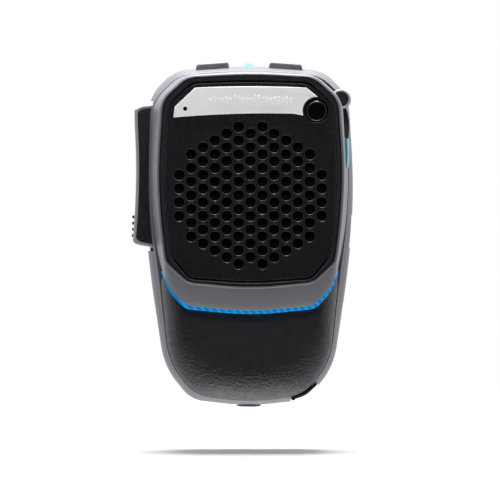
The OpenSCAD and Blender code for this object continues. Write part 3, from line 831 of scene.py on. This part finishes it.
def side_button():
    """The rubber key low on the right side."""
    corners = [(25.8, SIDE_Z + 4.5, 0.1), (30.1, SIDE_Z + 4.5, 0.5), (30.4, SIDE_Z + 4.2, 0.3),
               (29.9, SIDE_Z - 4.5, 0.6), (25.8, SIDE_Z - 4.5, 0.1)]
    cap = puck("cap", curved(corners, 5, 3), 9, 15, 0.4, 0.4)
    flange = block("flange", (25.1, 25.9), (SIDE_Z - 5.2, SIDE_Z + 5.2), (8, 16))
    return finished(cut(cap, [flange], "UNION"), "side_button")


# ---------------------------------------------------------------- selector
def knob_outline(radius, inner):
    """The thumb knob: a circle with a bite out of it where it runs along the bezel."""
    centre = np.array(SELECTOR_AT) + KNOB_REACH * np.array((math.cos(KNOB_ANGLE), math.sin(KNOB_ANGLE)))
    points = circle(centre, radius, 72)
    way = points - np.array(SELECTOR_AT)
    reach = np.linalg.norm(way, axis=1, keepdims=True)
    return np.array(SELECTOR_AT) + way * np.maximum(reach, inner) / reach


def selector():
    """The corner lever: a grey knob with a black insert, on an arm that turns on a pin inside."""
    wall = 0.7
    outer, rim = knob_outline(KNOB_R, 14.5), knob_outline(KNOB_R - wall, 14.75)
    rings = [ring(outer, 19.4)]
    rings += [ring(mixed(outer, rim, g / wall), 24.4 - fall) for g, fall in rounding(0.35)]
    rings += [ring(mixed(outer, rim, 0.8), 24.4), ring(rim, 24.28), ring(rim, 24.0)]
    knob = lofted("selector_knob", rings)
    angle = math.degrees(KNOB_ANGLE)
    arm = [pillar("hub", SELECTOR_AT, 2.6, 16.6, 18),
           sector_solid("arm", 2, 15.35, angle - 8, angle + 8, 16.6, 18),
           sector_solid("riser", 14.8, 15.3, angle - 7, angle + 7, 17.5, 20)]
    knob = cut(knob, arm, "UNION")
    finished(cut(knob, [pillar("bore", SELECTOR_AT, 1.05, 10, 30)]), "selector_lever")
    return finished(puck("selector_insert", rim, 24, 24.25, 0.01, 0.12), "selector_face")


# ---------------------------------------------------------------- foot and back
def mic_capsule():
    """A steel can with a folded rim, and the black felt over its face."""
    back, front = D_LEDGE - 2.8, D_LEDGE - 0.4
    can = [(0.01, back), (2.4, back), (2.5, back + 0.1), (2.5, front - 0.1), (2.4, front), (1.9, front),
           (1.85, front - 0.1), (0.01, front - 0.1)]
    finished(turned("mic_can", can, MIC_AT), "mic_capsule")
    felt = [(0.01, front - 0.08), (1.8, front - 0.08), (1.8, front - 0.02), (0.01, front)]
    return finished(turned("mic_felt", felt, MIC_AT), "mic_capsule", slot="cloth")


def port_cover():
    """The rubber flap over the socket: a bowed skin, a hinge bead and a tongue that plugs the mouth."""
    bulge = [(4.1 * t, -0.1 - 0.6 * math.cos(math.pi / 2 * t)) for t in np.linspace(-0.95, 0.95, 21)]
    outline = np.array([(PORT_HINGE[0], 0.5), (4.1, 0.5), (4.1, -0.1)] + bulge[::-1])
    flap = puck("port_flap_skin", outline, 7.8, D_SEAM - 0.4, 0.2, 0.3)
    bead = pillar("bead", PORT_HINGE, 0.6, 7.8, D_SEAM - 0.4)
    tongue = block("tongue", (-2.6, 2.6), (0.4, 1.4), (10.8, 12.4))
    return finished(into_port(cut(flap, [bead, tongue], "UNION")), "port_cover")


def usb_socket():
    """A folded steel shell round a dark tongue, its mouth towards the port."""
    low, high = (-3.5, 10.2), (3.5, 13.0)
    shell = block("socket_shell", (low[0], high[0]), (1.6, 6.6), (low[1], high[1]))
    shell = cut(shell, [block("c", (-3.1, 3.1), (1.5, 5.9), (10.6, 12.6))])
    tongue = block("t", (-2.4, 2.4), (2.2, 6.0), (11.9, 12.4))
    return finished(into_port(cut(shell, [tongue], "UNION")), "usb_socket")


def bottom_plug():
    """The round rubber foot with a shallow dimple in its face."""
    profile = [(0.01, -68.45), (1.6, -68.45), (1.8, -68.6), (3.1, -68.6), (3.35, -68.5), (3.5, -68.25),
               (3.5, -67.6), (2.5, -67.6), (2.5, -65.2), (2.3, -65.0)]
    return finished(upright("foot_plug", profile, PLUG_D), "bottom_plug")


def hang_up_stud():
    """A turned button: a neck, and a head with a soft rim, a dished face and one turned ring."""
    head, edge = 6.4, 0.45
    front, back = -2.6, -4.6
    rim = [(head - edge + edge * math.cos(a), front - edge + edge * math.sin(a))
           for a in np.linspace(math.pi / 2, 0, 6)]
    rim += [(head - edge + edge * math.cos(a), back + edge - edge * math.sin(a))
            for a in np.linspace(0, math.pi / 2, 6)]
    face = [(5.1, back), (5.0, back + 0.12), (4.7, back + 0.12), (4.6, back), (2.6, back + 0.02),
            (0.01, back + 0.2)]
    profile = [(0.01, 0), (3.4, 0), (3.4, front + 0.3), (3.7, front)] + rim + face
    return finished(turned("stud", profile, (0, 0), 96), "hang_up_stud")


def housing_screws():
    """Four countersunk screws with a cross recess, in their wells in the back."""
    profile = [(1.5, 1.4), (1.9, 1.5), (2.1, 1.75), (2.1, 2.4), (1, 2.4), (1, 20)]
    long, thin, depth = 1.15, 0.25, (1, 1.95)
    screws = []
    for x, z in SCREW_AT:
        recess = [block("c", (x - long, x + long), (z - thin, z + thin), depth),
                  block("c", (x - thin, x + thin), (z - long, z + long), depth)]
        screws.append(cut(turned("screw", profile, (x, z), 40), recess))
    return finished(joined("case_screws", screws), "housing_screws")


for build in (rear_shell, front_bezel, front_cover, bezel_gasket, grille_panel, nameplate, light_strip,
              selector_mark, status_light_pipe, talk_bar, talk_bar_spring, front_button, side_button,
              selector, mic_capsule, port_cover, usb_socket, bottom_plug, hang_up_stud, housing_screws):
    build()
volume_button("volume_up_button", 1)
volume_button("volume_down_button", -1)

# The inner parts are shown as the CAD has them, in the same finishes.
for node, obj in frame["nodes"].items():
    obj.data.materials.clear()
    obj.data.materials.append(FINISHES[SLOT_OF[node]])


# ---------------------------------------------------------------- studio, in metres
FLOOR_Z = -0.0815          # just below the foot
FLOOR_RADIUS = 0.35
FLOOR_SIDES = 96
FLOOR_GREY = 0.42
WORLD_STRENGTH = 1.25
WORLD_STOPS = [(0.0, 0.01), (0.18, 0.04), (0.34, 0.66), (0.62, 1.0)]    # (place, grey) from -Y to +Y
SENSOR_MM = 36
CAMERA_DISTANCE = 1.6
VIEW_WIDTH = 0.145         # width of the picture at the target
CAMERA_TARGET = (0.0003, -0.016, -0.0232)
CAMERA_AZIMUTH = math.radians(-1.3)
CAMERA_ELEVATION = math.radians(1.0)


def stage():
    """A pale floor that the camera sees, but that throws no light or shadow on the object."""
    floor = bpy.data.meshes.new("floor")
    turns = np.linspace(0, 2 * math.pi, FLOOR_SIDES + 1)[:-1]
    rim = [(FLOOR_RADIUS * math.cos(a), FLOOR_RADIUS * math.sin(a), FLOOR_Z) for a in turns]
    floor.from_pydata(rim, [], [tuple(range(FLOOR_SIDES))])
    obj = bpy.data.objects.new("floor", floor)
    bpy.context.scene.collection.objects.link(obj)
    material = bpy.data.materials.new("pale_floor")
    material.use_nodes = True
    shader = material.node_tree.nodes["Principled BSDF"]
    shader.inputs["Base Color"].default_value = (FLOOR_GREY, FLOOR_GREY, FLOOR_GREY, 1)
    shader.inputs["Roughness"].default_value = 0.9
    shader.inputs["Specular IOR Level"].default_value = 0.1
    floor.materials.append(material)
    obj.visible_diffuse = obj.visible_glossy = obj.visible_shadow = False


def area_light(name, place, target, size, power, shape=(1, 1)):
    """A lamp at a place that faces a target; shape stretches its width and height."""
    data = bpy.data.lights.new(name, "AREA")
    data.shape = "RECTANGLE"
    data.size, data.size_y = size * shape[0], size * shape[1]
    data.energy = power
    obj = bpy.data.objects.new(name, data)
    obj.location = place
    obj.rotation_euler = (Vector(target) - Vector(place)).to_track_quat("-Z", "Y").to_euler()
    bpy.context.scene.collection.objects.link(obj)


def surroundings():
    """A white studio that is dim behind the camera, so that the front is modelled by the lights."""
    world = bpy.data.worlds.new("studio")
    world.use_nodes = True
    nodes, links = world.node_tree.nodes, world.node_tree.links
    lit = nodes["Background"]
    shown = nodes.new("ShaderNodeBackground")
    mix = nodes.new("ShaderNodeMixShader")
    shown.inputs["Color"].default_value = (1, 1, 1, 1)
    ray = nodes.new("ShaderNodeLightPath")
    links.new(ray.outputs["Is Camera Ray"], mix.inputs["Fac"])
    links.new(lit.outputs["Background"], mix.inputs[1])
    links.new(shown.outputs["Background"], mix.inputs[2])
    links.new(mix.outputs["Shader"], nodes["World Output"].inputs["Surface"])
    way = nodes.new("ShaderNodeTexCoord")
    split = nodes.new("ShaderNodeSeparateXYZ")
    span = nodes.new("ShaderNodeMapRange")
    ramp = nodes.new("ShaderNodeValToRGB")
    links.new(way.outputs["Generated"], split.inputs["Vector"])
    span.inputs["From Min"].default_value = -1
    links.new(split.outputs["Y"], span.inputs["Value"])
    links.new(span.outputs["Result"], ramp.inputs["Fac"])
    while len(ramp.color_ramp.elements) < len(WORLD_STOPS):
        ramp.color_ramp.elements.new(0.5)
    for element, (at, grey) in zip(ramp.color_ramp.elements, WORLD_STOPS):
        element.position, element.color = at, (grey, grey, grey * 1.03, 1)
    links.new(ramp.outputs["Color"], lit.inputs["Color"])
    lit.inputs["Strength"].default_value = WORLD_STRENGTH
    bpy.context.scene.world = world


def studio():
    surroundings()
    area_light("overhead", (0, 0.02, 0.6), (0, -0.018, 0), 0.3, 15)
    area_light("front_top", (0.0, -0.16, 0.1), (0, -0.036, 0.012), 0.12, 0.055, (1.2, 0.3))
    area_light("front_fill", (-0.05, -0.5, 0.45), (0, -0.036, -0.02), 0.4, 1.05)
    area_light("below", (0, -0.04, -0.4), (0, -0.018, -0.06), 0.4, 1.5)


def camera():
    """A long lens from the front, from where the photo was taken."""
    data = bpy.data.cameras.new("camera")
    data.sensor_width = SENSOR_MM
    data.lens = SENSOR_MM * CAMERA_DISTANCE / VIEW_WIDTH
    data.clip_end = 20
    obj = bpy.data.objects.new("camera", data)
    level = math.cos(CAMERA_ELEVATION)
    way = Vector((math.sin(CAMERA_AZIMUTH) * level, -math.cos(CAMERA_AZIMUTH) * level,
                  math.sin(CAMERA_ELEVATION)))
    obj.location = Vector(CAMERA_TARGET) + way * CAMERA_DISTANCE
    obj.rotation_euler = (-way).to_track_quat("-Z", "Y").to_euler()
    bpy.context.scene.collection.objects.link(obj)
    bpy.context.scene.camera = obj


stage()
studio()
camera()
bpy.context.scene.view_settings.view_transform = "Standard"
